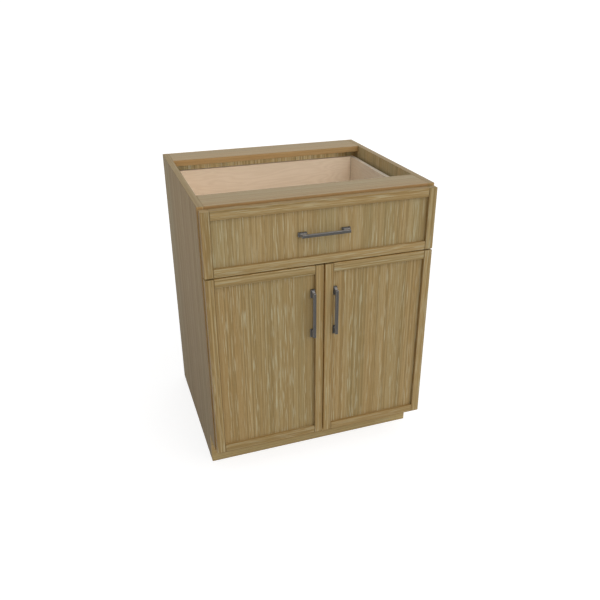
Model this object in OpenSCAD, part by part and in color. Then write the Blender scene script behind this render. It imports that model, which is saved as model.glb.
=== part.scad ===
// Kitchen base cabinet: a frameless case with one drawer over two doors, and slim framed fronts.
// The origin is on the floor, at the middle of the whole outline. +Z is up and the fronts face -Y.
// Pieces are drawn with y = 0 at the case's front edges, and at_case() then moves them.

/* [Case] */
// Width over the side panels
case_w = 685.8; // [560:0.1:900]
// Depth of the case without its fronts
case_d = 609.6; // [590:0.1:680]
// Height from the floor to the top edges
case_h = 876.3; // [840:0.1:940]
// Thickness of sides, bottom, shelf and stretchers
board_t = 19.05; // [18:0.05:20]
// Thickness of the back panel
back_t = 6.35; // [5:0.05:10]
// Width of the two flat stretchers across the top
stretcher_w = 101.6; // [80:0.1:120]
// Chamfer along the edges of each board
edge_ease = 0.8; // [0.4:0.1:1.2]

/* [Toe space] */
// Height of the toe space
toe_h = 101.6; // [85:0.1:120]
// Distance of the toe board behind the case front
toe_setback = 70; // [50:0.1:90]
// Thickness of the toe board
toe_board_t = 12.7; // [10:0.1:19]
// Leg of the triangular corner blocks behind the toe board
toe_block_leg = 30; // [20:1:45]

/* [Fronts] */
// Thickness of the door and drawer frames
front_t = 22.2; // [20:0.1:24]
// Gap between the case and the backs of the fronts
bumper_gap = 3.2; // [2.8:0.1:4]
// Width of stiles and rails
frame_w = 25.4; // [22:0.1:40]
// Depth of the panel faces below the frame faces
panel_recess = 8.2; // [5:0.1:8.6]
// Thickness of panel tongues and rail tenons
tongue_t = 6; // [4:0.1:7]
// Depth of the frame grooves
groove_d = 8; // [6:0.1:10]
// Gap left at the bottom of each groove
groove_gap = 0.5; // [0.2:0.1:1]
// Margin between the fronts and the case sides
side_reveal = 3.2; // [2:0.1:4]
// Margin above the drawer front
top_reveal = 6.6; // [3:0.1:12]
// Margin below the doors, above the toe space
bottom_reveal = 2.7; // [1:0.1:4]
// Gap between neighbouring fronts
front_gap = 4.4; // [2:0.1:6]
// Height of the drawer front
drawer_front_h = 185.3; // [180:0.1:190]

/* [Pulls] */
// Distance between the pull's screws
pull_spacing = 128; // [96:1:160]
// Reach of the pull in front of the panel
pull_projection = 24.4; // [20:0.1:34]
// Length of a pull foot
pull_foot_l = 25.6; // [18:0.1:30]
// Width of a pull foot
pull_foot_w = 12.7; // [10:0.1:13]
// Thickness of a pull foot
pull_foot_t = 6.4; // [3:0.1:8]
// Distance of each bar end inside the foot's end
pull_end_inset = 5.8; // [3:0.1:8]
// Distance of a post's faces inside the foot's ends
pull_post_inset = 2.7; // [1.5:0.1:5]
// Width of the pull bar, across its length
pull_bar_w = 8.4; // [6:0.1:9.5]
// Depth of the pull bar, front to back
pull_bar_t = 8; // [5:0.1:10]
// Chamfer of the pull's edges
pull_ease = 0.8; // [0.4:0.1:1.2]
// Distance of a door pull's centre line from the door's free edge
pull_inset = 32; // [31.9:0.1:60]
// Distance of a door pull's middle below the door's top
pull_drop = 150.6; // [110:0.1:200]
// Distance of the drawer pull's middle below the drawer front's top
drawer_pull_drop = 93.8; // [70:0.1:115]
// Diameter of the pull screws
pull_screw_d = 4; // [3.5:0.1:4.5]

/* [Drawer] */
// Height of the drawer box
box_h = 133.35; // [110:0.05:140]
// Depth of the drawer box, front to back
box_d = 533.4; // [480:0.1:540]
// Thickness of the drawer box boards
box_t = 12.7; // [11:0.1:14]
// Distance of the box top below the case top
box_top_drop = 39; // [33:0.1:45]
// Gap between the case side and the box side
box_side_gap = 8.35; // [6:0.05:10]
// Thickness of the box bottom
box_bottom_t = 6.35; // [5:0.05:7]
// Height of the box bottom above the box's lower edge
box_recess = 12.7; // [12:0.1:14]
// Depth of the grooves that hold the box bottom
box_groove_d = 6; // [4:0.1:7]
// Number of dovetails at each corner of the box
tail_count = 5; // [3:1:6]
// Length of the dovetails
tail_l = 9.5; // [7:0.1:10]

/* [Runners] */
// Sheet thickness of the runner members
runner_t = 1.5; // [1.2:0.1:1.8]
// Length of the cabinet member
runner_l = 525; // [480:1:530]
// Length of the middle member
middle_l = 490; // [420:1:500]
// Sliding clearance of the glides
glide_gap = 0.2; // [0.1:0.05:0.4]

/* [Hinges] */
// Distance of the hinges from the door's ends
hinge_inset = 95; // [80:1:130]
// Radius of the hinge cup's bore
cup_bore_r = 17.5; // [17.2:0.1:17.8]
// Depth of the hinge cup's bore
cup_bore_d = 12; // [11.9:0.1:12.5]
// Distance between the door's edge and the cup's bore
cup_tab = 5; // [4.5:0.1:6]
// Radius of the hinge pins
hinge_pin_r = 1.5; // [1.2:0.05:1.6]
// Radial clearance of a pin in its bore
pin_fit = 0.05; // [0.02:0.01:0.09]

/* [Shelf] */
// Margin between the shelf's ends and the case sides
shelf_side_gap = 2; // [1.8:0.1:4]
// Distance of the shelf's front edge behind the case front
shelf_setback = 15; // [5:1:60]
// Pitch of the shelf pin holes
hole_pitch = 32; // [25:1:40]
// Number of shelf pin holes in a column
hole_count = 9; // [6:1:10]
// Height of the lowest shelf pin hole
hole_z0 = 262; // [240:1:300]
// Hole that carries the shelf, counted from the lowest
shelf_hole = 4; // [1:1:5]

/* [Hidden] */
$fn = 48;
cut = 1;                 // how far a cutting shape runs past the faces it cuts

// Colours
oak = [0.62, 0.52, 0.35];
oak_dark = [0.52, 0.43, 0.29];
maple = [0.80, 0.69, 0.56];
zinc = [0.72, 0.72, 0.70];
nickel = [0.76, 0.75, 0.72];
graphite = [0.30, 0.30, 0.32];
grey_plastic = [0.45, 0.45, 0.46];
clear_rubber = [0.85, 0.85, 0.82];

// Case
inner_w = case_w - 2*board_t;
side_x = inner_w/2;                                   // inner face of the right side panel
front_reach = bumper_gap + front_t - panel_recess + pull_projection;
case_front_y = (front_reach - case_d)/2;
back_y = case_d - back_t;                             // inner face of the back panel
deck_z = toe_h + board_t;                             // top of the bottom panel
screw_fit = 0.05;                                     // radial clearance of a screw or dowel in its hole

// Dowels
dowel_r = 4;
dowel_in_side = 12;
dowel_in_board = 18;
dowel_end_gap = 0.2;
stretcher_dowels = [0.25, 0.75];                      // places across a stretcher's width
deck_dowels = [0.08, 0.36, 0.64, 0.92];               // places along the bottom panel's depth

// Shelf and its pins
shelf_pin_r = 2.5;
shelf_pin_in = 8;
shelf_pin_out = 11;
shelf_pin_collar = [4.2, 1.4];                        // radius and thickness
shelf_pin_end_gap = 0.3;
shelf_pin_seat = 0.05;
shelf_hole_inset = [70, 65];                          // column distances from the case front and the back panel
shelf_z = hole_z0 + shelf_hole*hole_pitch + shelf_pin_r + shelf_pin_seat;
shelf_back_gap = 1.5;

// Fronts, each as [left x, bottom z, width, height]
fronts_w = case_w - 2*side_reveal;
front_y = -bumper_gap - front_t;                      // outer face of the frames
front_back_y = -bumper_gap;
panel_y = front_y + panel_recess;                     // outer face of the panels
panel_t = front_t - panel_recess;
groove_y = panel_y + (panel_t - tongue_t)/2;
door_w = (fronts_w - front_gap)/2;
door_z = toe_h + bottom_reveal;
drawer_z = case_h - top_reveal - drawer_front_h;
door_h = drawer_z - front_gap - door_z;
drawer_front = [-fronts_w/2, drawer_z, fronts_w, drawer_front_h];
left_door = [-fronts_w/2, door_z, door_w, door_h];

// Pulls
pull_pilot_l = 9;                                     // depth of the threaded hole in a pull foot
pull_screw_head = [4.5, 2.2];                         // radius and height
door_pull_x = left_door[0] + door_w - pull_inset;
door_pull_z = door_z + door_h - pull_drop;
drawer_pull_z = drawer_z + drawer_front_h - drawer_pull_drop;

// Drawer box
box_w = inner_w - 2*box_side_gap;
box_y = front_back_y;
box_end_y = box_y + box_d;
box_z = case_h - box_top_drop - box_h;
box_inner_x = box_w/2 - box_t;
box_floor_z = box_z + box_recess;                     // underside of the box bottom
tail_pitch = box_h/tail_count;
tail_root = 0.29*tail_pitch;                          // half height of a dovetail at its root
tail_tip = 0.39*tail_pitch;
glue_gap = 0.05;
front_screw_inset = 60;
front_screw_x = box_w/2 - front_screw_inset;
front_screw_zs = [0.25, 0.75];                        // places up the box's height
front_screw_head = [4, 1.6];
front_screw_r = 1.9;
front_screw_bite = 10;

// Runners: u is the distance from the case side's inner face, w the height above the runner's web
runner_drop = 16;                                     // web below the box's lower edge
runner_z = box_z - runner_drop;
runner_y = 3;
flange_h = 24;
trough_h = 14;
rail_w = 22;                                          // width of the drawer member
rail_u = box_side_gap + box_t + 1;
tube_w = 15;
tube_u = rail_u + (rail_w - tube_w)/2;
tube_lift = 1.7;
glide_t = 1.5;
glide_l = 30;
glide_step = 140;
lower_glide_h = 11.8;
rail_top = box_floor_z - runner_z;                    // top of the drawer member
tube_top = rail_top - runner_t - glide_gap - glide_t;
skirt_w = trough_h + 1.5;                             // lower edge of the drawer member's legs
rail_y = box_y + box_t + 4;
trough_gap = 0.5;
runner_screw_ys = [34, 0.46*runner_l, 0.88*runner_l];
runner_screw_w = 15;                                  // height on the flange
runner_screw_r = 2;
runner_screw_l = 14;
screw_head = [3.8, 1.8];
notch_u = [box_side_gap + box_t, rail_u + rail_w + 3];
clip_size = [26, 40, 11];

// Hinges, drawn for the left door
hinge_zs = [door_z + hinge_inset, door_z + door_h - hinge_inset];
door_edge_x = left_door[0];
cup_x = door_edge_x + cup_tab + cup_bore_r;
cup_fit = 0.1;
cup_wall = 0.6;
cup_slot_h = 8.5;                                     // half height of the cup's slot
cup_rim = [18.6, 1];                                  // radius and thickness of the rim
cup_wing = [31, 6];                                   // half length and half width of the screw wings
cup_screw_z = 24;
cup_screw_dx = 3;
cup_screw_r = 1.8;
cup_screw_l = 9;
cup_screw_head = [3.4, 1.2];
cup_pin = [door_edge_x + 12.3, front_back_y - 5.3];   // axis in the cup
arm_pin = [-side_x + 17, 6.5];                        // axis in the arm's nose
pin_reach = 10.6;                                     // half length of the cup pin
link_t = 2.2;
link_half_h = 6.2;
link_cheek = 1.6;
link_boss_r = 2.6;
link_pin_out = 0.8;                                   // how far the arm pin stands out of the link
arm_nose_h = 4.3;                                     // half height of the arm's nose
nose_r = 3.6;
arm_half_h = 6.4;
arm_u = 8.5;                                          // underside of the arm on its plate
arm_top = 15.5;
arm_waist = [11, 18.5];                               // the arm at the root of its nose, from the side
arm_waist_y = 14.5;
arm_foot_y = 20;                                      // where the arm's underside starts
arm_slope_y = 22;                                     // where its top becomes straight
arm_end_y = 60;
arm_end_ease = 3;
adjuster_ys = [30, 47];
adjuster = [3.6, 1.2];                                // radius and height
plate_t = 2.5;
plate_y = 22;                                         // front end of the plate
plate_block = [2, 4.5];                               // end inset and half height of the raised seat
plate_screw_y = 37;
plate_screw_z = 16;
plate_screw_r = 2.5;
plate_screw_l = 11;
plate_wing = 26;

// Moves drawn pieces from case coordinates to the part's own frame
module at_case() translate([0, case_front_y, 0]) children();

module mirrored() mirror([1, 0, 0]) children();

module both_sides() {
  children();
  mirrored() children();
}

// Rectangle with chamfered corners
module eased_outline(a, b, e)
  polygon([[e, 0], [a - e, 0], [a, e], [a, b - e], [a - e, b], [e, b], [0, b - e], [0, e]]);

// Board with a chamfer on all twelve edges
module eased_board(size, e = edge_ease)
  intersection() {
    linear_extrude(size[2]) eased_outline(size[0], size[1], e);
    translate([0, size[1], 0]) rotate([90, 0, 0]) linear_extrude(size[1]) eased_outline(size[0], size[2], e);
    rotate([90, 0, 90]) linear_extrude(size[0]) eased_outline(size[1], size[2], e);
  }

// Cylinders along the axes, from a start point
module x_rod(p, r, l) translate(p) rotate([0, 90, 0]) cylinder(r = r, h = l);
module y_rod(p, r, l) translate(p) rotate([-90, 0, 0]) cylinder(r = r, h = l);
module z_rod(p, r, l) translate(p) cylinder(r = r, h = l);

// Outline of a line of points with thickness t and mitred corners
function unit(v) = v/norm(v);
function left_of(v) = [-v[1], v[0]];
function mitre(p, i) =
  let (a = unit(i > 0 ? p[i] - p[i - 1] : p[1] - p[0]),
       b = unit(i < len(p) - 1 ? p[i + 1] - p[i] : p[i] - p[i - 1]),
       n = unit(left_of(a) + left_of(b)))
  n/(n*left_of(a));
function thick_line(p, t) = concat(
  [for (i = [0 : len(p) - 1]) p[i] + t/2*mitre(p, i)],
  [for (i = [len(p) - 1 : -1 : 0]) p[i] - t/2*mitre(p, i)]);

// Box between two corners
module block(a, b) translate(a) cube(b - a);

// Places of the dowels in the left side panel, as [y, z]
function stretcher_dowel_ys() =
  [for (f = stretcher_dowels) each [f*stretcher_w, back_y - f*stretcher_w]];
function dowel_places() = concat(
  [for (y = stretcher_dowel_ys()) [y, case_h - board_t/2]],
  [for (f = deck_dowels) [f*back_y, toe_h + board_t/2]]);

module dowel_bores()
  for (p = dowel_places())
    x_rod([-side_x - dowel_in_side, p[0], p[1]], dowel_r + screw_fit, dowel_in_side + dowel_in_board);

// Shelf pin holes of the left side panel
shelf_hole_ys = [shelf_hole_inset[0], back_y - shelf_hole_inset[1]];
module shelf_holes()
  for (y = shelf_hole_ys)
    for (i = [0 : hole_count - 1])
      x_rod([-side_x - shelf_pin_in - shelf_pin_end_gap, y, hole_z0 + i*hole_pitch],
            shelf_pin_r + screw_fit, shelf_pin_in + shelf_pin_end_gap + cut);

module plate_screw_bores()
  for (z = hinge_zs)
    for (s = [-1, 1])
      x_rod([-side_x - plate_screw_l, plate_screw_y, z + s*plate_screw_z],
            plate_screw_r + screw_fit, plate_screw_l + plate_t + cut);

module runner_screw_bores()
  for (y = runner_screw_ys)
    x_rod([-side_x - runner_screw_l, runner_y + y, runner_z + runner_screw_w],
          runner_screw_r + screw_fit, runner_screw_l + runner_t + cut);

// Side panel with its toe notch, drawn on the left
module side_panel()
  difference() {
    translate([-case_w/2, 0, 0]) eased_board([board_t, case_d, case_h]);
    block([-case_w/2 - cut, -cut, -cut], [-side_x + cut, toe_setback + toe_board_t, toe_h]);
    dowel_bores();
    shelf_holes();
    plate_screw_bores();
    runner_screw_bores();
  }

module left_side_panel() color(oak_dark) at_case() side_panel();
module right_side_panel() color(oak_dark) at_case() mirrored() side_panel();

module bottom_panel()
  color(oak_dark) at_case()
    difference() {
      translate([-side_x, 0, toe_h]) eased_board([inner_w, back_y, board_t]);
      both_sides() dowel_bores();
    }

module back_panel()
  color(oak_dark) at_case() translate([-side_x, back_y, toe_h]) eased_board([inner_w, back_t, case_h - toe_h]);

module stretcher(y)
  difference() {
    translate([-side_x, y, case_h - board_t]) eased_board([inner_w, stretcher_w, board_t]);
    both_sides() dowel_bores();
  }
module front_stretcher() color(oak) at_case() stretcher(0);
module rear_stretcher() color(oak) at_case() stretcher(back_y - stretcher_w);

module toe_kick_board()
  color(oak) at_case() translate([-case_w/2, toe_setback, 0]) eased_board([case_w, toe_board_t, toe_h]);

module toe_kick_blocks()
  color(oak_dark) at_case() both_sides()
    translate([-side_x, toe_setback + toe_board_t, cut])
      linear_extrude(toe_h - cut) polygon([[0, 0], [toe_block_leg, 0], [0, toe_block_leg]]);

module adjustable_shelf()
  color(oak_dark) at_case() translate([-side_x + shelf_side_gap, shelf_setback, shelf_z])
    eased_board([inner_w - 2*shelf_side_gap, back_y - shelf_back_gap - shelf_setback, board_t]);

module shelf_pin(y)
  translate([-side_x, y, hole_z0 + shelf_hole*hole_pitch]) {
    x_rod([-shelf_pin_in, 0, 0], shelf_pin_r, shelf_pin_in + shelf_pin_out);
    difference() {
      x_rod([0, 0, 0], shelf_pin_collar[0], shelf_pin_collar[1]);
      block([-cut, -2*shelf_pin_collar[0], shelf_pin_r], [shelf_side_gap + cut, 2*shelf_pin_collar[0], 3*shelf_pin_r]);
    }
  }
module shelf_pins() color(zinc) at_case() both_sides() for (y = shelf_hole_ys) shelf_pin(y);

module case_dowels()
  color(maple) at_case() both_sides()
    for (p = dowel_places())
      x_rod([-side_x - dowel_in_side + dowel_end_gap, p[0], p[1]], dowel_r,
            dowel_in_side + dowel_in_board - 2*dowel_end_gap);

// Box in the runner's own section: u from the case side, w above the web, along y
module runner_block(u, y, w)
  block([-side_x + u[0], y[0], runner_z + w[0]], [-side_x + u[1], y[1], runner_z + w[1]]);

// Cabinet member: a flange on the case side and a trough under the box
module runner_rail()
  difference() {
    union() {
      runner_block([0, runner_t], [runner_y, runner_y + runner_l], [0, flange_h]);
      runner_block([0, rail_u + rail_w + trough_gap + runner_t], [runner_y, runner_y + runner_l], [0, runner_t]);
      for (u = [rail_u - trough_gap - runner_t, rail_u + rail_w + trough_gap])
        runner_block([u, u + runner_t], [runner_y, runner_y + runner_l], [0, trough_h]);
    }
    runner_screw_bores();
  }
module left_runner_rail() color(zinc) at_case() runner_rail();
module right_runner_rail() color(zinc) at_case() mirrored() runner_rail();

// Pan-head screw along x that enters the left case side, with its head's underside at u
module side_screw(u, y, z, r, l, head) {
  x_rod([-side_x - l + screw_fit, y, z], r, l + u - screw_fit);
  difference() {
    x_rod([-side_x + u, y, z], head[0], head[1]);
    for (a = [0, 90])
      translate([-side_x + u + head[1], y, z]) rotate([a, 0, 0]) cube([1, head[0], 0.8], center = true);
  }
}

module runner_screws()
  color(zinc) at_case() both_sides()
    for (y = runner_screw_ys)
      side_screw(runner_t, runner_y + y, runner_z + runner_screw_w, runner_screw_r, runner_screw_l, screw_head);

// Middle member: a rectangular tube between trough and drawer member
middle_y = rail_y + 0.5;
module middle_tube_outline(y0, y1, grow = 0)
  runner_block([tube_u - grow, tube_u + tube_w + grow], [y0, y1], [runner_t + tube_lift - grow, tube_top + grow]);

module middle_rail()
  difference() {
    middle_tube_outline(middle_y, middle_y + middle_l);
    middle_tube_outline(middle_y - cut, middle_y + middle_l + cut, -runner_t);
  }
module runner_middle_rails() color(nickel) at_case() both_sides() middle_rail();

// Glides: lower ones at the rear of the middle member, upper ones at its front
lower_glide_ys = [middle_y + middle_l - glide_l, middle_y + middle_l - glide_l - glide_step];
upper_glide_ys = [middle_y, middle_y + glide_step];
module glides()
  difference() {
    union() {
      for (y = lower_glide_ys)
        runner_block([rail_u - trough_gap + glide_gap, rail_u + rail_w + trough_gap - glide_gap],
                     [y, y + glide_l], [runner_t + glide_gap, runner_t + glide_gap + lower_glide_h]);
      for (y = upper_glide_ys)
        runner_block([rail_u + runner_t + glide_gap, rail_u + rail_w - runner_t - glide_gap],
                     [y, y + glide_l], [skirt_w + 0.5, rail_top - runner_t - glide_gap]);
    }
    middle_tube_outline(middle_y - cut, middle_y + middle_l + cut);
  }
module runner_glides() color(grey_plastic) at_case() both_sides() glides();

// Drawer member: an inverted channel under the box bottom
module drawer_rail()
  difference() {
    runner_block([rail_u, rail_u + rail_w], [rail_y, box_end_y], [skirt_w, rail_top]);
    runner_block([rail_u + runner_t, rail_u + rail_w - runner_t], [rail_y - cut, box_end_y + cut],
                 [skirt_w - cut, rail_top - runner_t]);
  }
module runner_drawer_rails() color(zinc) at_case() both_sides() drawer_rail();

// Locking clip in the corner behind the box front, with its lever
module runner_clip()
  translate([-side_x + rail_u + rail_w, box_y + box_t, box_floor_z - clip_size[2]]) {
    eased_board(clip_size);
    translate([clip_size[0] - 8, 12, -3]) eased_board([8, clip_size[1] - 16, 4]);
    z_rod([7, clip_size[1] - 8, -1.5], 4, 2);
  }
module runner_clips() color(grey_plastic) at_case() both_sides() runner_clip();

// Frame members and panel of a front f = [left x, bottom z, width, height]
module stile(f, at_right)
  difference() {
    translate([f[0] + at_right*(f[2] - frame_w), front_y, f[1]]) eased_board([frame_w, front_t, f[3]]);
    translate([f[0] + (at_right == 1 ? f[2] - frame_w - cut : frame_w - groove_d), groove_y, f[1] - cut])
      cube([groove_d + cut, tongue_t, f[3] + 2*cut]);
  }

module rail(f, at_top) {
  z = f[1] + at_top*(f[3] - frame_w);
  w = f[2] - 2*frame_w;
  tenon_z = z + at_top*groove_d;
  difference() {
    translate([f[0] + frame_w, front_y, z]) eased_board([w, front_t, frame_w]);
    translate([f[0] + frame_w - cut, groove_y, at_top == 1 ? z - cut : z + frame_w - groove_d])
      cube([w + 2*cut, tongue_t, groove_d + cut]);
  }
  for (x = [f[0] + frame_w - groove_d + groove_gap, f[0] + f[2] - frame_w - cut])
    translate([x, groove_y, tenon_z + at_top*0 + edge_ease])
      cube([groove_d - groove_gap + cut, tongue_t, frame_w - groove_d - 2*edge_ease]);
}

module panel(f) {
  reach = groove_d - groove_gap;
  block([f[0] + frame_w, panel_y, f[1] + frame_w], [f[0] + f[2] - frame_w, front_back_y, f[1] + f[3] - frame_w]);
  block([f[0] + frame_w - reach, groove_y, f[1] + frame_w - reach],
        [f[0] + f[2] - frame_w + reach, groove_y + tongue_t, f[1] + f[3] - frame_w + reach]);
}

// Pull along x with its feet on y = 0, standing out towards -y
bar_l = pull_spacing + pull_foot_l - 2*pull_end_inset;
bar_back = pull_projection - pull_bar_t;
post_x = pull_foot_l/2 - pull_post_inset;
post_w = pull_bar_w - pull_ease;                      // a little narrower than the bar

// Left post, drawn in plan: its outer face leans from the foot to the end of the bar
module pull_post()
  translate([0, 0, -post_w/2]) linear_extrude(post_w)
    polygon([[-post_x, -pull_foot_t + pull_ease], [post_x, -pull_foot_t + pull_ease], [post_x, -bar_back - pull_ease],
             [pull_end_inset - pull_foot_l/2, -bar_back - pull_ease], [pull_end_inset - pull_foot_l/2, -bar_back],
             [-post_x, -pull_foot_t]]);
module pull()
  difference() {
    union() {
      translate([-bar_l/2, -pull_projection, -pull_bar_w/2]) eased_board([bar_l, pull_bar_t, pull_bar_w], pull_ease);
      both_sides()
        translate([-pull_spacing/2, 0, 0]) {
          translate([-pull_foot_l/2, -pull_foot_t, -pull_foot_w/2])
            eased_board([pull_foot_l, pull_foot_t, pull_foot_w], pull_ease);
          pull_post();
        }
    }
    both_sides() y_rod([-pull_spacing/2, -pull_pilot_l, 0], pull_screw_d/2 + screw_fit, pull_pilot_l + cut);
  }

// Screws of a pull: depth is the distance from the pull's feet to the screw heads
module pull_screw_bores(depth)
  both_sides() y_rod([-pull_spacing/2, -cut, 0], pull_screw_d/2 + screw_fit, depth + 2*cut);
module pull_screw_pair(depth)
  both_sides()
    difference() {
      union() {
        y_rod([-pull_spacing/2, -pull_pilot_l + 0.5, 0], pull_screw_d/2, depth + pull_pilot_l - 0.5);
        y_rod([-pull_spacing/2, depth, 0], pull_screw_head[0], pull_screw_head[1]);
      }
      for (a = [0, 90])
        translate([-pull_spacing/2, depth + pull_screw_head[1], 0]) rotate([0, a, 0])
          cube([pull_screw_head[0], 2, 0.9], center = true);
    }

// Places a pull or its screws on a front
module at_drawer_pull() translate([0, panel_y, drawer_pull_z]) children();
module at_door_pull() translate([door_pull_x, panel_y, door_pull_z]) rotate([0, 90, 0]) children();
drawer_pull_depth = panel_t + box_t;
door_pull_depth = panel_t;

// Screws from inside the box front into the drawer front's panel
module front_screw_places()
  both_sides()
    for (f = front_screw_zs) translate([-front_screw_x, box_y + box_t, box_z + f*box_h]) children();
module front_screw_bore() y_rod([0, -box_t - front_screw_bite, 0], front_screw_r + screw_fit, box_t + front_screw_bite + cut);
module front_screw()
  difference() {
    union() {
      y_rod([0, screw_fit - box_t - front_screw_bite, 0], front_screw_r, box_t + front_screw_bite - screw_fit);
      y_rod([0, 0, 0], front_screw_head[0], front_screw_head[1]);
    }
    for (a = [0, 90])
      translate([0, front_screw_head[1], 0]) rotate([0, a, 0]) cube([front_screw_head[0], 1.4, 0.8], center = true);
  }

module drawer_left_stile() color(oak) at_case() stile(drawer_front, 0);
module drawer_right_stile() color(oak) at_case() stile(drawer_front, 1);
module drawer_top_rail() color(oak) at_case() rail(drawer_front, 1);
module drawer_bottom_rail() color(oak) at_case() rail(drawer_front, 0);
module drawer_front_panel()
  color(oak) at_case()
    difference() {
      panel(drawer_front);
      at_drawer_pull() pull_screw_bores(drawer_pull_depth);
      front_screw_places() front_screw_bore();
    }

// Dovetails on one end of a box side, pointing along +y from y = 0
module tails(grow = 0)
  for (i = [0 : tail_count - 1])
    translate([0, 0, (i + 0.5)*tail_pitch]) rotate([90, 0, 90]) linear_extrude(box_t)
      polygon([[-grow, -tail_root - grow], [tail_l + grow, -tail_tip - grow],
               [tail_l + grow, tail_tip + grow], [-grow, tail_root + grow]]);

// Tails of the left box side at both ends, seen by the box front and back
module side_tails(grow = 0) {
  translate([-box_w/2, box_end_y - box_t, box_z]) tails(grow);
  translate([-box_w/2, box_y + box_t, box_z]) mirror([0, 1, 0]) tails(grow);
}

module floor_panel_cut(x, y) block([-x, y[0], box_floor_z], [x, y[1], box_floor_z + box_bottom_t]);

module box_side() {
  difference() {
    block([-box_w/2, box_y + box_t, box_z], [-box_inner_x, box_end_y - box_t, box_z + box_h]);
    floor_panel_cut(box_inner_x + box_groove_d, [box_y + box_t - cut, box_end_y - box_t + cut]);
  }
  side_tails();
}
module drawer_box_left_side() color(maple) at_case() box_side();
module drawer_box_right_side() color(maple) at_case() mirrored() box_side();

module drawer_box_front()
  color(maple) at_case()
    difference() {
      block([-box_w/2, box_y, box_z], [box_w/2, box_y + box_t, box_z + box_h]);
      both_sides() side_tails(glue_gap);
      floor_panel_cut(box_inner_x, [box_y + box_t - box_groove_d, box_y + box_t + cut]);
      at_drawer_pull() pull_screw_bores(drawer_pull_depth);
      front_screw_places() front_screw_bore();
    }

module drawer_box_back()
  color(maple) at_case()
    difference() {
      block([-box_w/2, box_end_y - box_t, box_z], [box_w/2, box_end_y, box_z + box_h]);
      both_sides() side_tails(glue_gap);
      floor_panel_cut(box_inner_x, [box_end_y - box_t - cut, box_end_y - box_t + box_groove_d]);
      both_sides()
        block([-side_x + notch_u[0], box_end_y - box_t - cut, box_z - cut],
              [-side_x + notch_u[1], box_end_y + cut, box_floor_z]);
    }

module drawer_box_bottom() {
  reach = box_groove_d - groove_gap;
  color(maple) at_case() {
    floor_panel_cut(box_inner_x + reach, [box_y + box_t, box_end_y - box_t]);
    floor_panel_cut(box_inner_x, [box_y + box_t - reach, box_end_y - box_t + reach]);
  }
}

module drawer_pull() color(graphite) at_case() at_drawer_pull() pull();
module drawer_pull_screws() color(zinc) at_case() at_drawer_pull() pull_screw_pair(drawer_pull_depth);
module drawer_front_screws() color(zinc) at_case() front_screw_places() front_screw();

// Bumpers on the back of the drawer front, over the side panels' edges
bumper_r = 5;
bumper_clear = 0.2;
bumper_in = 12;
module bumper(x, z) y_rod([x, front_back_y, z], bumper_r, bumper_gap - bumper_clear);
module drawer_bumpers()
  color(clear_rubber) at_case() both_sides()
    for (z = [drawer_z + bumper_in, drawer_z + drawer_front_h - bumper_in])
      bumper(-(case_w - board_t)/2, z);

// Hinge cups in the left door
module cup_bores()
  for (z = hinge_zs) {
    y_rod([cup_x, front_back_y - cup_bore_d, z], cup_bore_r, cup_bore_d + cut);
    for (s = [-1, 1])
      y_rod([cup_x + cup_screw_dx, front_back_y - cup_screw_l, z + s*cup_screw_z], cup_screw_r + screw_fit,
            cup_screw_l + cut);
  }

module hinge_cup(z)
  translate([cup_x, front_back_y, z])
    difference() {
      union() {
        y_rod([0, cup_fit - cup_bore_d, 0], cup_bore_r - cup_fit, cup_bore_d - cup_fit);
        y_rod([0, 0, 0], cup_rim[0], cup_rim[1]);
        translate([cup_screw_dx - cup_wing[1], 0, -cup_wing[0]])
          eased_board([2*cup_wing[1], cup_rim[1], 2*cup_wing[0]], 0.4);
      }
      intersection() {
        y_rod([0, cup_wall - cup_bore_d, 0], cup_bore_r - cup_fit - cup_wall, cup_bore_d + cup_rim[1] + cut);
        translate([-cup_bore_r, -cup_bore_d, -cup_slot_h]) cube([2*cup_bore_r, 2*cup_bore_d, 2*cup_slot_h]);
      }
      translate([-cup_rim[0] - cut, 0, -cup_slot_h]) cube([cup_rim[0], cup_rim[1] + cut, 2*cup_slot_h]);
      z_rod([cup_pin[0] - cup_x, cup_pin[1] - front_back_y, -pin_reach - 0.2], hinge_pin_r + pin_fit,
            2*pin_reach + 0.4);
      for (s = [-1, 1])
        y_rod([cup_screw_dx, -cut, s*cup_screw_z], cup_screw_r + screw_fit, cup_rim[1] + 2*cut);
    }

module cup_screw_set()
  for (z = hinge_zs)
    for (s = [-1, 1])
      translate([cup_x + cup_screw_dx, front_back_y, z + s*cup_screw_z])
        difference() {
          union() {
            y_rod([0, screw_fit - cup_screw_l, 0], cup_screw_r, cup_screw_l + cup_rim[1] - screw_fit);
            y_rod([0, cup_rim[1], 0], cup_screw_head[0], cup_screw_head[1]);
          }
          for (a = [0, 90])
            translate([0, cup_rim[1] + cup_screw_head[1], 0]) rotate([0, a, 0])
              cube([cup_screw_head[0], 1, 0.8], center = true);
        }

// Curved link of the hinge: it runs from the cup's pin along the cup's floor, and out to the arm's nose
link_points = [
  cup_pin,
  cup_pin + [4.2, -3.4],
  cup_pin + [9, -4.5],
  cup_pin + [13.8, -3.4],
  cup_pin + [19.4, 3],
  arm_pin + [-0.8, -3.5],
  arm_pin];
module link_outline() {
  polygon(thick_line(link_points, link_t));
  for (p = [cup_pin, arm_pin]) translate(p) circle(r = link_boss_r);
}
module hinge_link(z) {
  difference() {
    translate([0, 0, z - link_half_h]) linear_extrude(2*link_half_h) link_outline();
    for (x = [cup_pin[0] - 5, arm_pin[0] - 4])
      block([x, cup_pin[1] - 10, z - link_half_h + link_cheek], [x + 9.5, arm_pin[1] + 5, z + link_half_h - link_cheek]);
  }
  z_rod([cup_pin[0], cup_pin[1], z - pin_reach], hinge_pin_r, 2*pin_reach);
  z_rod([arm_pin[0], arm_pin[1], z - link_half_h - link_pin_out], hinge_pin_r, 2*(link_half_h + link_pin_out));
}

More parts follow.
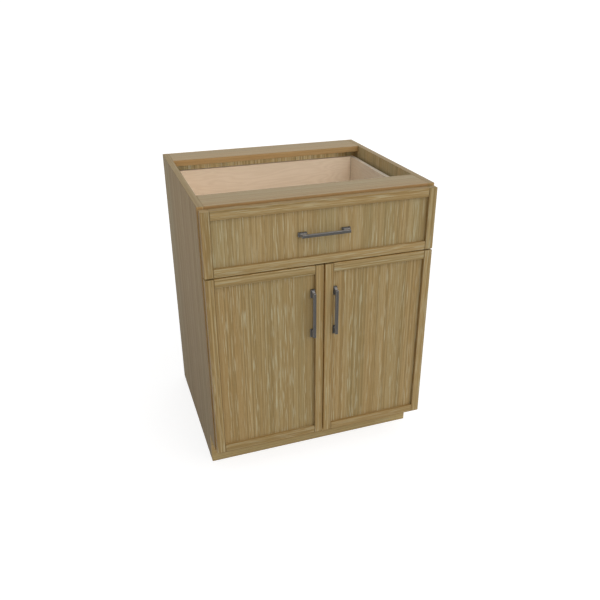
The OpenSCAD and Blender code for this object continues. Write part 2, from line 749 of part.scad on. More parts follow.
// Arm on its plate, with its nose at the arm pin
module hinge_arm(z)
  difference() {
    union() {
      translate([-side_x, 0, z - arm_half_h]) linear_extrude(2*arm_half_h)
        polygon([[arm_u, arm_end_y], [arm_u, arm_foot_y], [arm_waist[0], arm_waist_y], [arm_waist[1], arm_waist_y],
                 [arm_top, arm_slope_y], [arm_top, arm_end_y - arm_end_ease], [arm_top - arm_end_ease, arm_end_y]]);
      translate([0, 0, z - arm_nose_h]) linear_extrude(2*arm_nose_h) {
        translate(arm_pin) circle(r = nose_r);
        polygon([[-side_x + arm_waist[0], arm_waist_y + 1.5], [arm_pin[0] - nose_r + 0.4, arm_pin[1]],
                 [arm_pin[0] + nose_r - 0.4, arm_pin[1]], [-side_x + arm_waist[1], arm_waist_y + 1.5]]);
      }
      for (y = adjuster_ys) x_rod([-side_x + arm_top - cut, y, z], adjuster[0], adjuster[1] + cut);
    }
    z_rod([arm_pin[0], arm_pin[1], z - arm_half_h - cut], hinge_pin_r + pin_fit, 2*arm_half_h + 2*cut);
    for (y = adjuster_ys)
      for (a = [0, 90])
        translate([-side_x + arm_top + adjuster[1], y, z]) rotate([a, 0, 0])
          cube([1.2, 1.3*adjuster[0], 0.9], center = true);
  }

module hinge_plate(z)
  difference() {
    union() {
      translate([-side_x, plate_y, z - arm_half_h]) eased_board([plate_t, arm_end_y - plate_y + 2, 2*arm_half_h], 0.4);
      translate([-side_x, plate_screw_y - 6, z - plate_wing]) eased_board([plate_t, 12, 2*plate_wing], 0.4);
      block([-side_x + plate_t - 0.5, plate_y + plate_block[0], z - plate_block[1]],
            [-side_x + arm_u, arm_end_y - plate_block[0], z + plate_block[1]]);
    }
    for (s = [-1, 1])
      x_rod([-side_x - cut, plate_screw_y, z + s*plate_screw_z], plate_screw_r + screw_fit, plate_t + 2*cut);
  }

module hinge_plates() color(nickel) at_case() both_sides() for (z = hinge_zs) hinge_plate(z);
module hinge_arms() color(nickel) at_case() both_sides() for (z = hinge_zs) hinge_arm(z);
module hinge_plate_screws()
  color(zinc) at_case() both_sides()
    for (z = hinge_zs)
      for (s = [-1, 1])
        side_screw(plate_t, plate_screw_y, z + s*plate_screw_z, plate_screw_r, plate_screw_l, screw_head);

// Left door's pieces, which the right door mirrors
module door_hinge_stile()
  difference() {
    stile(left_door, 0);
    cup_bores();
  }
module door_panel()
  difference() {
    panel(left_door);
    cup_bores();
    at_door_pull() pull_screw_bores(door_pull_depth);
  }
module door_cups() for (z = hinge_zs) hinge_cup(z);
module door_links() for (z = hinge_zs) hinge_link(z);
module door_bumper() bumper(left_door[0] + door_w - bumper_in, door_z + 8);

module left_door_hinge_stile() color(oak) at_case() door_hinge_stile();
module left_door_lock_stile() color(oak) at_case() stile(left_door, 1);
module left_door_top_rail() color(oak) at_case() rail(left_door, 1);
module left_door_bottom_rail() color(oak) at_case() rail(left_door, 0);
module left_door_panel() color(oak) at_case() door_panel();
module left_door_pull() color(graphite) at_case() at_door_pull() pull();
module left_door_pull_screws() color(zinc) at_case() at_door_pull() pull_screw_pair(door_pull_depth);
module left_hinge_cups() color(nickel) at_case() door_cups();
module left_cup_screws() color(zinc) at_case() cup_screw_set();
module left_door_bumper() color(clear_rubber) at_case() door_bumper();
module left_hinge_links() color(nickel) at_case() door_links();

module right_door_hinge_stile() color(oak) at_case() mirrored() door_hinge_stile();
module right_door_lock_stile() color(oak) at_case() mirrored() stile(left_door, 1);
module right_door_top_rail() color(oak) at_case() mirrored() rail(left_door, 1);
module right_door_bottom_rail() color(oak) at_case() mirrored() rail(left_door, 0);
module right_door_panel() color(oak) at_case() mirrored() door_panel();
module right_door_pull() color(graphite) at_case() mirrored() at_door_pull() pull();
module right_door_pull_screws() color(zinc) at_case() mirrored() at_door_pull() pull_screw_pair(door_pull_depth);
module right_hinge_cups() color(nickel) at_case() mirrored() door_cups();
module right_cup_screws() color(zinc) at_case() mirrored() cup_screw_set();
module right_door_bumper() color(clear_rubber) at_case() mirrored() door_bumper();
module right_hinge_links() color(nickel) at_case() mirrored() door_links();

left_side_panel();
right_side_panel();
bottom_panel();
back_panel();
front_stretcher();
rear_stretcher();
toe_kick_board();
toe_kick_blocks();
adjustable_shelf();
shelf_pins();
case_dowels();
left_runner_rail();
right_runner_rail();
runner_screws();
hinge_plates();
hinge_arms();
hinge_plate_screws();
runner_middle_rails();
runner_glides();
drawer_left_stile();
drawer_right_stile();
drawer_top_rail();
drawer_bottom_rail();
drawer_front_panel();
drawer_box_front();
drawer_box_back();
drawer_box_left_side();
drawer_box_right_side();
drawer_box_bottom();
drawer_pull();
drawer_pull_screws();
drawer_front_screws();
runner_drawer_rails();
runner_clips();
drawer_bumpers();
left_door_hinge_stile();
left_door_lock_stile();
left_door_top_rail();
left_door_bottom_rail();
left_door_panel();
left_door_pull();
left_door_pull_screws();
left_hinge_cups();
left_cup_screws();
left_door_bumper();
left_hinge_links();
right_door_hinge_stile();
right_door_lock_stile();
right_door_top_rail();
right_door_bottom_rail();
right_door_panel();
right_door_pull();
right_door_pull_screws();
right_hinge_cups();
right_cup_screws();
right_door_bumper();
right_hinge_links();
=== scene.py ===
"""Looks of the kitchen base cabinet: limed oak fronts, a maple drawer and dark metal pulls."""

import math

import bpy
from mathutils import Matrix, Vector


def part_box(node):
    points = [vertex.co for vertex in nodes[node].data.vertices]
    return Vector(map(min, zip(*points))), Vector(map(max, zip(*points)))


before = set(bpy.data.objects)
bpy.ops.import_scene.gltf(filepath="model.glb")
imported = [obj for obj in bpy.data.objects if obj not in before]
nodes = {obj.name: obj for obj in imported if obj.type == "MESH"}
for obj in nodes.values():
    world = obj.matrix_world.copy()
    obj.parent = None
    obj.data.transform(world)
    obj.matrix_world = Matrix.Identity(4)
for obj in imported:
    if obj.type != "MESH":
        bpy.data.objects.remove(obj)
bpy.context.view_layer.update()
scene = bpy.context.scene

AXES = {"X": 0, "Y": 1, "Z": 2}


def srgb(r, g, b):
    """Linear colour of an 8-bit sRGB colour."""
    def linear(c):
        c /= 255
        return c / 12.92 if c <= 0.04045 else ((c + 0.055) / 1.055) ** 2.4
    return (linear(r), linear(g), linear(b), 1.0)


def scaled_tone(colour, factor):
    """A darker or paler version of a colour."""
    return tuple(min(1.0, c * factor) for c in colour[:3]) + (1.0,)


class Shader:
    """One material, with short calls that add its nodes."""

    def __init__(self, name):
        self.mat = bpy.data.materials.new(name)
        self.mat.use_nodes = True
        self.tree = self.mat.node_tree
        self.bsdf = self.tree.nodes["Principled BSDF"]

    def put(self, socket, value):
        """Links a socket to a node's output, or sets its value."""
        if isinstance(value, bpy.types.NodeSocket):
            self.tree.links.new(value, socket)
        else:
            socket.default_value = value

    def add(self, kind, inputs, out=0, **props):
        """Adds a node and returns one of its outputs."""
        node = self.tree.nodes.new("ShaderNode" + kind)
        for key, value in props.items():
            setattr(node, key, value)
        for key, value in inputs.items():
            self.put(node.inputs[key], value)
        return node.outputs[out]

    def math(self, operation, a, b=0.0):
        return self.add("Math", {0: a, 1: b}, operation=operation)

    def times(self, a, b):
        return self.math("MULTIPLY", a, b)

    def step(self, value, low, high):
        """0 below low, 1 above high, and smooth between them."""
        return self.add("MapRange", {"Value": value, "From Min": low, "From Max": high},
                        interpolation_type="SMOOTHSTEP")

    def span(self, value, start, end, low=0.0, high=1.0):
        """Goes evenly from start to end while the value goes from low to high."""
        return self.add("MapRange", {"Value": value, "From Min": low, "From Max": high,
                                     "To Min": start, "To Max": end})

    def mix(self, factor, a, b):
        """Colour a where the factor is 0, and b where it is 1."""
        return self.add("Mix", {0: factor, 6: a, 7: b}, out=2, data_type="RGBA")

    def tinted(self, colour, tint):
        return self.add("Mix", {0: 1.0, 6: colour, 7: tint}, out=2, data_type="RGBA", blend_type="MULTIPLY")

    def ramp(self, value, *stops):
        node = self.tree.nodes.new("ShaderNodeValToRGB")
        points = node.color_ramp.elements
        while len(points) < len(stops):
            points.new(0.5)
        for point, (place, colour) in zip(points, stops):
            point.position = place
            point.color = colour
        self.tree.links.new(value, node.inputs[0])
        return node.outputs[0]

    def noise(self, vector, detail=2.0, rough=0.5, scale=1.0, warp=0.0):
        return self.add("TexNoise", {"Vector": vector, "Scale": scale, "Detail": detail, "Roughness": rough,
                                     "Distortion": warp})

    def coordinate(self, axis):
        """The place on one of the piece's own axes, in metres."""
        return self.add("SeparateXYZ", {0: self.add("TexCoord", {}, out="Object")}, out=AXES[axis])

    def normal(self, axis):
        """How far the surface faces along an axis, from -1 to 1."""
        return self.add("SeparateXYZ", {0: self.add("TexCoord", {}, out="Normal")}, out=AXES[axis])

    def facing(self, side):
        """1 where the surface faces a side such as +X or -Z, and 0 elsewhere."""
        sign = 1 if side[0] == "+" else -1
        return self.step(self.normal(side[1]), 0.5 * sign, 0.9 * sign)

    def place(self, seed):
        """The piece's own coordinates, moved by a seed so that no two pieces share a pattern."""
        move = (0.37 * seed, 0.71 * seed, 0.53 * seed)
        return self.add("VectorMath", {0: self.add("TexCoord", {}, out="Object"), 1: move}, operation="ADD")

    def along(self, place, grain):
        """Coordinates with the grain axis last."""
        xyz = [self.add("SeparateXYZ", {0: place}, out=i) for i in range(3)]
        last = xyz.pop(AXES[grain])
        return self.add("CombineXYZ", {0: xyz[0], 1: xyz[1], 2: last})

    def grain(self, seed, axis, end_axis):
        """Coordinates along the grain, which runs along another axis on the board's end faces."""
        place = self.place(seed)
        vector = self.along(place, axis)
        if end_axis:
            ends = self.step(self.math("ABSOLUTE", self.normal(axis)), 0.4, 0.6)
            vector = self.add("Mix", {0: ends, 4: vector, 5: self.along(place, end_axis)}, out=1,
                              data_type="VECTOR")
        return vector

    def scaled(self, vector, across, along):
        return self.add("VectorMath", {0: vector, 1: (across, across, along)}, operation="MULTIPLY")

    def worn_edge(self, radius):
        """1 on an edge or corner, 0 on a flat face."""
        soft = self.add("Bevel", {"Radius": radius}, samples=4)
        hard = self.add("NewGeometry", {}, out="Normal")
        dot = self.add("VectorMath", {0: soft, 1: hard}, out=1, operation="DOT_PRODUCT")
        return self.step(dot, 0.995, 0.88)

    def painted_corner_shade(self, reach):
        """Painted shade: 1 deep in an inner corner of the front side, 0 in the open."""
        open_sky = self.add("AmbientOcclusion", {"Distance": reach}, out=1, samples=6)
        return self.times(self.step(open_sky, 0.95, 0.35), self.facing("-Y"))

    def joints(self, colour, seams, strength):
        """Thin dark lines across the piece at (axis, place) pairs: glue lines at joints, and a line along the
        doors' bottom edge, where no parts meet.
        """
        for axis, at in seams:
            gap = self.math("ABSOLUTE", self.math("SUBTRACT", self.coordinate(axis), at))
            line = self.step(gap, 2 * LINE, 0.75 * LINE)
            colour = self.mix(self.times(line, strength), colour, DARK_LINE_TONE)
        return colour

    def bump(self, height, strength, distance):
        return self.add("Bump", {"Height": height, "Strength": strength, "Distance": distance})

    def finish(self, colour, roughness, normal, **fixed):
        """Links or sets the surface's sockets and returns the material."""
        for key, value in (("Base Color", colour), ("Roughness", roughness), ("Normal", normal)):
            self.put(self.bsdf.inputs[key], value)
        for key, value in fixed.items():
            self.put(self.bsdf.inputs[key.replace("_", " ")], value)
        return self.mat


# Dark lines at joints and along the doors' bottom edge
LINE = 0.0008                       # half the width of a dark line, in metres
DARK_LINE_TONE = srgb(84, 66, 36)

# Oak: tones of its details
STREAK = srgb(122, 104, 64)         # thin dark streaks between the bands of grain
LIME = srgb(180, 172, 141)          # pale lime left in the pores
FIBRE = srgb(112, 90, 54)
PORE = srgb(92, 72, 45)
RUBBED = srgb(120, 95, 58)          # worn edges
WARM = (1.03, 0.99, 0.95, 1)        # the two tints that glued-up boards alternate between
COOL = (0.97, 1.0, 1.02, 1)
CORNER_SHADE = (0.80, 0.76, 0.68, 1)      # painted shade for wood in an inner corner
CORNER_SHADE_REACH = 0.014


def oak(name, grain, seed, tones, pale=1.0, edge=None, across=1.0, seams=(), faces=(), gloss=0.2,
        corner_shade=0.5, fleck=14, shade_fade=None):
    """Limed oak. tones are the dark, middle and pale colours; pale is how much lime shows; edge is the grain
    of the board's end faces; across is how many bands lie side by side, and fleck how many pale flecks follow
    each other in a metre of grain; seams are (axis, place) pairs where a dark line crosses the front;
    faces are (side, tint) pairs that tone the faces on a side, several of them as painted light and painted
    shade;
    corners is how much painted shade darkens the wood in an inner corner; fade paints light and shade along
    Z: the low and high place on Z between which one tint goes over to another."""
    s = Shader(name)
    dark, middle, light = tones
    vector = s.grain(seed, grain, edge)
    board = s.noise(s.scaled(vector, 14 * across, 0.5), detail=1)
    band = s.noise(s.scaled(vector, 210 * across, 0.4), detail=2, rough=0.7)
    streak = s.noise(s.scaled(vector, 360 * across, 0.5), detail=0)
    lime = s.noise(s.scaled(vector, 350 * across, fleck), detail=1, rough=0.6)
    patch = s.noise(s.scaled(vector, 115 * across, fleck / 14), detail=1)
    fibre = s.noise(s.scaled(vector, 1100, 22), detail=2)
    pore = s.noise(s.scaled(vector, 1700, 70), detail=1)

    colour = s.ramp(band, (0.34, dark), (0.50, middle), (0.66, light))
    colour = s.mix(s.times(s.step(streak, 0.44, 0.26), 0.50), colour, STREAK)
    limed = s.times(s.step(lime, 0.50, 0.66), s.span(patch, 0.15, 1.0, low=0.38, high=0.60))
    colour = s.mix(s.times(limed, 0.64 * pale), colour, LIME)
    colour = s.mix(s.step(board, 0.35, 0.65), s.tinted(colour, WARM), s.tinted(colour, COOL))
    colour = s.mix(s.times(s.step(fibre, 0.56, 0.40), 0.16), colour, FIBRE)
    colour = s.mix(s.times(s.step(pore, 0.60, 0.74), 0.35), colour, PORE)
    # Tints by side; several of them paint light and shade onto the faces.
    for side, tint in faces:
        colour = s.mix(s.facing(side), colour, s.tinted(colour, tint))
    colour = s.mix(s.times(s.worn_edge(0.0012), 0.30), colour, RUBBED)
    # Painted shade darkens the wood in inner corners of the front side.
    colour = s.mix(s.times(s.painted_corner_shade(CORNER_SHADE_REACH), corner_shade), colour, s.tinted(colour, CORNER_SHADE))
    # Painted shade and light that change along Z.
    if shade_fade:
        low, high, under, over = shade_fade
        colour = s.tinted(colour, s.mix(s.step(s.coordinate("Z"), low, high), under, over))
    if seams:
        colour = s.joints(colour, seams, s.times(s.facing("-Y"), 0.7))

    height = s.math("ADD", s.times(fibre, 0.5), s.times(s.step(pore, 0.72, 0.58), 0.5))
    rough = s.span(fibre, 0.50, 0.68)
    return s.finish(colour, rough, s.bump(height, 0.3, 0.0003), Specular_IOR_Level=gloss)


# Maple: tones of its details
MAPLE_FIBRE = srgb(210, 186, 160)
MAPLE_CLOUD = srgb(234, 215, 190)
MAPLE_EDGE = srgb(232, 212, 188)
# Tints of painted light that turn the drawer back lighter towards its right end.
LIT_END_TINTS = ((0.95, 0.95, 0.95, 1), (1.10, 1.12, 1.14, 1))


def maple(name, grain, seed, tones, edge=None, seams=(), lit_end_span=None):
    """Pale maple with wavy growth lines. edge and seams are as on oak, and lit_end_span is where on X painted
    light starts and ends to turn the board paler."""
    s = Shader(name)
    low, high = tones
    vector = s.grain(seed, grain, edge)
    figure = s.noise(s.scaled(vector, 20, 3.0), detail=2, rough=0.45, warp=0.5)
    rings = s.math("SINE", s.times(figure, 90))
    fibre = s.noise(s.scaled(vector, 900, 20), detail=2)
    cloud = s.noise(s.scaled(vector, 9, 4), detail=2)

    colour = s.mix(s.span(rings, 0.0, 1.0, low=-1.0), low, high)
    colour = s.mix(s.times(s.step(fibre, 0.45, 0.70), 0.20), colour, MAPLE_FIBRE)
    colour = s.mix(s.times(s.step(cloud, 0.35, 0.75), 0.25), colour, MAPLE_CLOUD)
    colour = s.mix(s.times(s.worn_edge(0.0010), 0.4), colour, MAPLE_EDGE)
    # Painted light, paler towards one end along X.
    if lit_end_span:
        colour = s.tinted(colour, s.mix(s.step(s.coordinate("X"), *lit_end_span), *LIT_END_TINTS))
    colour = s.joints(colour, seams, 0.75)

    height = s.math("ADD", s.times(fibre, 0.6), s.times(figure, 0.4))
    return s.finish(colour, s.span(fibre, 0.42, 0.6), s.bump(height, 0.25, 0.0003), Specular_IOR_Level=0.35)


def metal(name, colour, rough, brush=None, edge=None, metallic=1.0, top=None, sides=None):
    """Plated or painted metal: fine brushing or grain, smudges and worn edges. top is a painted highlight on
    the
    upper faces: the tones of bar and leg, and where on Y the leg starts and ends; sides is a paler tone
    painted on the faces to the left and right, as painted light. Both are less metallic than the rest."""
    s = Shader(name)
    vector = s.grain(3, brush or "X", None)
    fine, long = 2400, 60           # grain in a metre, across the brushing and along it
    lines = s.noise(s.scaled(vector, fine, long if brush else fine), detail=2)
    smudge = s.noise(s.scaled(vector, 60, 60), detail=3)

    shade = s.mix(s.times(s.step(smudge, 0.3, 0.75), 0.6), colour, scaled_tone(colour, 0.82))
    # Painted light: the faces to the left and right are paler.
    if sides:
        sideways = s.step(s.math("ABSOLUTE", s.normal("X")), 0.5, 0.9)
        shade = s.mix(sideways, shade, sides)
        metallic = s.math("SUBTRACT", metallic, s.times(sideways, 0.6 * metallic))
    # Painted highlight on the upper faces, broken up by the smudges.
    if top:
        bar, leg, start, end = top
        y = s.coordinate("Y")
        highlight = s.times(s.facing("+Z"), s.span(smudge, 0.75, 1.0))
        highlight = s.times(highlight, s.step(y, end + 0.0002, end - 0.0002))
        shade = s.mix(highlight, shade, s.mix(s.step(y, start - 0.001, start + 0.001), bar, leg))
        metallic = s.times(metallic, s.math("SUBTRACT", 1.0, s.times(highlight, 0.6)))
    shade = s.mix(s.times(s.worn_edge(0.0008), 0.6), shade, edge or scaled_tone(colour, 1.5))

    roughness = s.math("ADD", s.span(lines, rough - 0.06, rough + 0.06), s.span(smudge, -0.03, 0.05))
    return s.finish(shade, roughness, s.bump(lines, 0.15, 0.0001), Metallic=metallic)


def plastic(name, colour, rough, soft=0.0):
    """Moulded plastic or rubber with a fine spark-eroded grain."""
    s = Shader(name)
    place = s.place(5)
    grain = s.noise(place, scale=1800, detail=2)
    cloud = s.noise(place, scale=45, detail=2)
    shade = s.mix(s.step(cloud, 0.3, 0.7), colour, scaled_tone(colour, 0.85))
    shade = s.mix(s.times(s.worn_edge(0.0008), 0.4), shade, scaled_tone(colour, 1.4))
    roughness = s.span(grain, rough - 0.05, rough + 0.08)
    return s.finish(shade, roughness, s.bump(grain, 0.3, 0.0001), Subsurface_Weight=soft)


def dress(material, *names):
    """Gives the material to every slot of the named CAD nodes."""
    for n in names:
        materials = nodes[n].data.materials
        if not len(materials):
            materials.append(material)
        for i in range(len(materials)):
            materials[i] = material


# Fronts: panels and stiles run upright, rails run across, and each rail ends in a dark glue line.
DOOR_PANEL = (srgb(138, 115, 73), srgb(151, 127, 83), srgb(160, 139, 98))
DRAWER_PANEL = (srgb(140, 119, 78), srgb(153, 131, 88), srgb(162, 143, 103))
FRAME = (srgb(127, 105, 63), srgb(149, 125, 81), srgb(166, 145, 103))
SHADED_SIDE_TINT = (0.95, 0.88, 0.85, 1)       # painted shade on the side faces of the fronts, away from the gaps
RECESS_TONE_AND_SHADE = (1.05, 0.96, 0.84, 1)        # faces beside the recessed panels: a warmer edge-grain tone, and a little painted shade
GAP_LIGHT_TINT = (1.66, 1.54, 1.36, 1)         # painted light on faces at the gaps between fronts and on their undersides, which catch little light
FRONTS = {"drawer": ("left_stile", "right_stile", "front_panel"),
          "left_door": ("hinge_stile", "lock_stile", "panel"),
          "right_door": ("lock_stile", "hinge_stile", "panel")}


def dress_front(front, index):
    """A drawer front or door: two stiles, two rails and a panel. The index keeps the patterns apart."""
    is_door = front != "drawer"
    left, right, panel = (f"{front}_{part}" for part in FRONTS[front])
    left_joint, right_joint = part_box(left)[1].x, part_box(right)[0].x
    # Doors also get a thin dark line along their bottom edge, where no parts meet.
    foot_line = [("Z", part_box(left)[0].z + LINE)] if is_door else []

    stiles = ((left, "-X", "+X", left_joint - LINE), (right, "+X", "-X", right_joint + LINE))
    for k, (stile, outward, inward, joint) in enumerate(stiles):
        # Lock stiles get painted light on their side at the gap; the other stiles get painted shade on their
        # side away from it.
        outer = GAP_LIGHT_TINT if "lock" in stile else SHADED_SIDE_TINT
        dress(oak(stile, "Z", 3 + 11 * index + k, FRAME, pale=0.9, edge="X",
                  seams=foot_line + [("X", joint)],
                  faces=[(outward, outer), (inward, RECESS_TONE_AND_SHADE), ("-Z", GAP_LIGHT_TINT)]), stile)

    ends = [("X", left_joint), ("X", right_joint)]
    top_faces = [("+Z", GAP_LIGHT_TINT), ("-Z", RECESS_TONE_AND_SHADE)] if is_door else [("-Z", RECESS_TONE_AND_SHADE)]
    dress(oak(f"{front}_top_rail", "X", 51 + 5 * index, FRAME, pale=0.9, edge="Z", seams=ends,
              faces=top_faces), f"{front}_top_rail")
    dress(oak(f"{front}_bottom_rail", "X", 52 + 5 * index, FRAME, pale=0.9, edge="Z", seams=ends + foot_line,
              faces=[("-Z", GAP_LIGHT_TINT), ("+Z", RECESS_TONE_AND_SHADE)]), f"{front}_bottom_rail")
    dress(oak(panel, "Z", 60 + 9 * index, DOOR_PANEL if is_door else DRAWER_PANEL, across=0.9, corner_shade=0.1),
          panel)


for index, front in enumerate(FRONTS):
    dress_front(front, index)

# Case: upright grain on the sides and back, and grain across on the flat boards.
# Left side: darker, greyer oak as painted shade.
SHADED_SIDE_TONES = (srgb(128, 107, 75), srgb(139, 120, 88), srgb(148, 131, 101))
# Painted shade darkening the left side towards the bottom, and painted light towards its top.
SIDE_SHADE_FADE = (0.1, 0.85, (0.88, 0.87, 0.83, 1), (1.12, 1.12, 1.10, 1))
INSIDE = (srgb(160, 138, 94), srgb(172, 150, 104), srgb(182, 164, 122))
BACK = (srgb(140, 118, 76), srgb(172, 150, 104), srgb(194, 178, 136))
# Flat boards: paler, greyer oak, a painted sheen on their tops.
FLAT_SHEEN_TONES = (srgb(150, 127, 90), srgb(159, 137, 100), srgb(167, 147, 112))
# Toe board: lighter oak, as painted light in the shade under the cabinet.
TOE_LIT_TONES = (srgb(162, 137, 90), srgb(171, 146, 98), srgb(178, 156, 110))
EDGE = ("-Y", (1.06, 0.90, 0.75, 1))
REAR_EDGE = ("-Y", (1.20, 1.03, 0.83, 1))

# Its front edge and top edge are painted lighter, as painted light.
dress(oak("left_side_panel", "Z", 81, SHADED_SIDE_TONES, pale=0.3, edge="Y", across=0.3, gloss=0.08, corner_shade=0,
          shade_fade=SIDE_SHADE_FADE, faces=[("-Y", (1.50, 1.34, 1.15, 1)), ("+Z", (1.12, 1.12, 1.12, 1))]),
      "left_side_panel")
# Its inner face is painted lighter as painted light; its outer face and top edge are painted darker as
# painted shade.
dress(oak("right_side_panel", "Z", 87, INSIDE, pale=0.5, edge="Y",
          faces=[EDGE, ("-X", (1.16, 1.22, 1.35, 1)), ("+X", (0.71, 0.71, 0.75, 1)),
                 ("+Z", (0.72, 0.70, 0.70, 1))]),
      "right_side_panel")
# Its inner face is painted lighter, as painted light in the cabinet's shade.
dress(oak("back_panel", "Z", 91, BACK, pale=1.4, edge="X", faces=[("-Y", (1.22, 1.22, 1.25, 1))]),
      "back_panel")
for k, n in enumerate(("bottom_panel", "front_stretcher", "rear_stretcher", "adjustable_shelf")):
    dress(oak(n, "X", 101 + 3 * k, FLAT_SHEEN_TONES, pale=0.4, edge="Y", across=1.5, fleck=8,
              faces=[REAR_EDGE if n == "rear_stretcher" else EDGE]), n)
dress(oak("toe_kick_board", "X", 121, TOE_LIT_TONES, pale=0.5, edge="Z"), "toe_kick_board")
dress(oak("toe_kick_blocks", "Z", 125, DOOR_PANEL, pale=0.3), "toe_kick_blocks")

# Drawer box, with a dark line where its back meets the sides, and painted light towards the right end of its
# back
MAPLE = (srgb(226, 206, 181), srgb(232, 213, 189))
# A greyer, darker maple for the drawer's right side, as painted shade on its inner face.
SHADED_MAPLE = (srgb(220, 208, 190), srgb(226, 216, 198))
BEECH = (srgb(190, 150, 110), srgb(206, 170, 130))
BOX_GRAIN = {"front": "X", "back": "X", "left_side": "Y", "right_side": "Y", "bottom": "X"}
back_corner = ("Y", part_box("drawer_box_back")[0].y - LINE)
for k, (board, grain) in enumerate(BOX_GRAIN.items()):
    n = f"drawer_box_{board}"
    dress(maple(n, grain, 131 + 5 * k, SHADED_MAPLE if board == "right_side" else MAPLE, edge="Z",
                seams=[back_corner] if grain == "Y" else [],
                lit_end_span=(0.05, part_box(n)[1].x) if board == "back" else None), n)
dress(maple("beech_dowel", "X", 171, BEECH), "case_dowels")

# Pulls
BAR_DEPTH = 0.008
FOOT_DEPTH = 0.0064
# Painted highlights on the upper faces of the pulls' bars and legs.
BAR_HIGHLIGHT = (0.25, 0.245, 0.25, 1)
LEG_HIGHLIGHT = (0.47, 0.47, 0.48, 1)
pull_front, pull_back = (corner.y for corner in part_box("drawer_pull"))
# The pulls' side faces are painted paler, as painted light.
dress(metal("graphite_pull", (0.083, 0.079, 0.074, 1), 0.38, edge=(0.155, 0.150, 0.142, 1), metallic=0.85,
            sides=(0.200, 0.204, 0.206, 1),
            top=(BAR_HIGHLIGHT, LEG_HIGHLIGHT, pull_front + BAR_DEPTH, pull_back - FOOT_DEPTH)),
      "drawer_pull", "left_door_pull", "right_door_pull")

# Metal and plastic parts
dress(metal("zinc_runner", (0.62, 0.63, 0.65, 1), 0.36, brush="Y"),
      "left_runner_rail", "right_runner_rail", "runner_drawer_rails", "shelf_pins")
dress(metal("nickel_hinge", (0.66, 0.64, 0.60, 1), 0.28),
      "hinge_plates", "hinge_arms", "runner_middle_rails", "left_hinge_cups", "right_hinge_cups",
      "left_hinge_links", "right_hinge_links")
dress(metal("zinc_screw", (0.58, 0.58, 0.60, 1), 0.32),
      "runner_screws", "hinge_plate_screws", "drawer_pull_screws", "drawer_front_screws",
      "left_door_pull_screws", "right_door_pull_screws", "left_cup_screws", "right_cup_screws")
dress(plastic("runner_plastic", srgb(112, 113, 116), 0.45), "runner_glides", "runner_clips")
dress(plastic("bumper_rubber", srgb(214, 214, 206), 0.5, soft=0.2),
      "drawer_bumpers", "left_door_bumper", "right_door_bumper")

# Camera, at the photograph's viewing angle
CAMERA_PLACE = (-0.5921, -1.8467, 1.3802)
LOOKS_DOWN, LOOKS_RIGHT = 25.89, 19.44              # degrees
camera = bpy.data.objects.new("camera", bpy.data.cameras.new("camera"))
camera.location = CAMERA_PLACE
camera.rotation_euler = (math.radians(90 - LOOKS_DOWN), 0, math.radians(-LOOKS_RIGHT))
camera.data.sensor_width = 36
camera.data.lens = 38.276
camera.data.shift_x = -0.0136
camera.data.shift_y = -0.0059
camera.data.clip_end = 400
scene.collection.objects.link(camera)
scene.camera = camera


def sun(name, toward, strength, spread):
    """A soft sun that shines from a direction."""
    light = bpy.data.lights.new(name, "SUN")
    light.energy = strength
    light.angle = math.radians(spread)
    o = bpy.data.objects.new(name, light)
    x, y, z = toward
    o.rotation_euler = (math.atan2(math.hypot(x, y), z), 0, math.atan2(x, -y))
    scene.collection.objects.link(o)


def low_fill():
    """A faint strip light between the drawer's back and the back panel."""
    light = bpy.data.lights.new("fill", "AREA")
    light.shape = "RECTANGLE"
    light.size, light.size_y = 0.60, 0.03
    light.energy = 0.15
    o = bpy.data.objects.new("fill", light)
    o.location = (0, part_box("drawer_box_back")[1].y + 0.012, 0.79)
    o.rotation_euler = (math.radians(90), 0, 0)
    o.visible_camera = False
    o.visible_glossy = False
    scene.collection.objects.link(o)


sun("key", (0.45, -0.75, 0.50), 1.85, 80)
sun("rim", (0.30, 0.70, 0.55), 0.45, 40)
low_fill()

# Surroundings
AMBIENT = 0.46                      # grey that lights the object
FLOOR_GREY = 0.85                   # floor as the object's light sees it
FLOOR_LIT, FLOOR_GLOW = 0.36, 0.80  # floor as the camera sees it, which is white with a soft shadow
FLOOR_REACH = 160.0


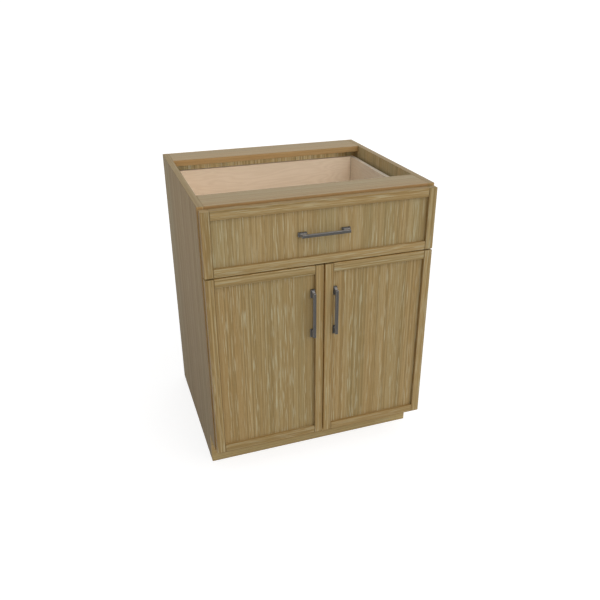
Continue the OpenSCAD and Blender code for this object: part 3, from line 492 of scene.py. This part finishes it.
def surface(tree, kind, grey):
    """A Background, Emission or plain diffuse surface of one grey."""
    node = tree.nodes.new("ShaderNode" + kind)
    if kind == "Emission":
        node.inputs["Strength"].default_value = grey
    else:
        node.inputs["Color"].default_value = (grey, grey, grey, 1)
    return node.outputs[0]


def seen_or_not(tree, hidden, seen):
    """One surface for camera, glossy and transmission rays, and another for the rest."""
    path = tree.nodes.new("ShaderNodeLightPath")
    rays = path.outputs["Is Camera Ray"]
    for name in ("Is Glossy Ray", "Is Transmission Ray"):
        either = tree.nodes.new("ShaderNodeMath")
        either.operation = "MAXIMUM"
        tree.links.new(rays, either.inputs[0])
        tree.links.new(path.outputs[name], either.inputs[1])
        rays = either.outputs[0]
    choice = tree.nodes.new("ShaderNodeMixShader")
    for socket, value in zip(choice.inputs, (rays, hidden, seen)):
        tree.links.new(value, socket)
    return choice.outputs[0]


def studio_world():
    """White for the camera and for reflections, and plain soft light for everything else."""
    world = bpy.data.worlds.new("studio")
    scene.world = world
    world.use_nodes = True
    tree = world.node_tree
    tree.nodes.clear()
    output = tree.nodes.new("ShaderNodeOutputWorld")
    ambient, white = surface(tree, "Background", AMBIENT), surface(tree, "Background", 1.0)
    tree.links.new(seen_or_not(tree, ambient, white), output.inputs["Surface"])


def studio_floor():
    """A plain pale floor that keeps the object's shadow."""
    material = bpy.data.materials.new("floor")
    material.use_nodes = True
    tree = material.node_tree
    tree.nodes.clear()
    output = tree.nodes.new("ShaderNodeOutputMaterial")
    total = tree.nodes.new("ShaderNodeAddShader")
    tree.links.new(surface(tree, "BsdfDiffuse", FLOOR_LIT), total.inputs[0])
    tree.links.new(surface(tree, "Emission", FLOOR_GLOW), total.inputs[1])
    plain = surface(tree, "BsdfDiffuse", FLOOR_GREY)
    tree.links.new(seen_or_not(tree, plain, total.outputs[0]), output.inputs["Surface"])

    mesh = bpy.data.meshes.new("floor")
    r = FLOOR_REACH
    mesh.from_pydata([(-r, -r, 0), (r, -r, 0), (r, r, 0), (-r, r, 0)], [], [(0, 1, 2, 3)])
    mesh.materials.append(material)
    floor = bpy.data.objects.new("floor", mesh)
    scene.collection.objects.link(floor)


studio_world()
studio_floor()

scene.view_settings.view_transform = "Standard"
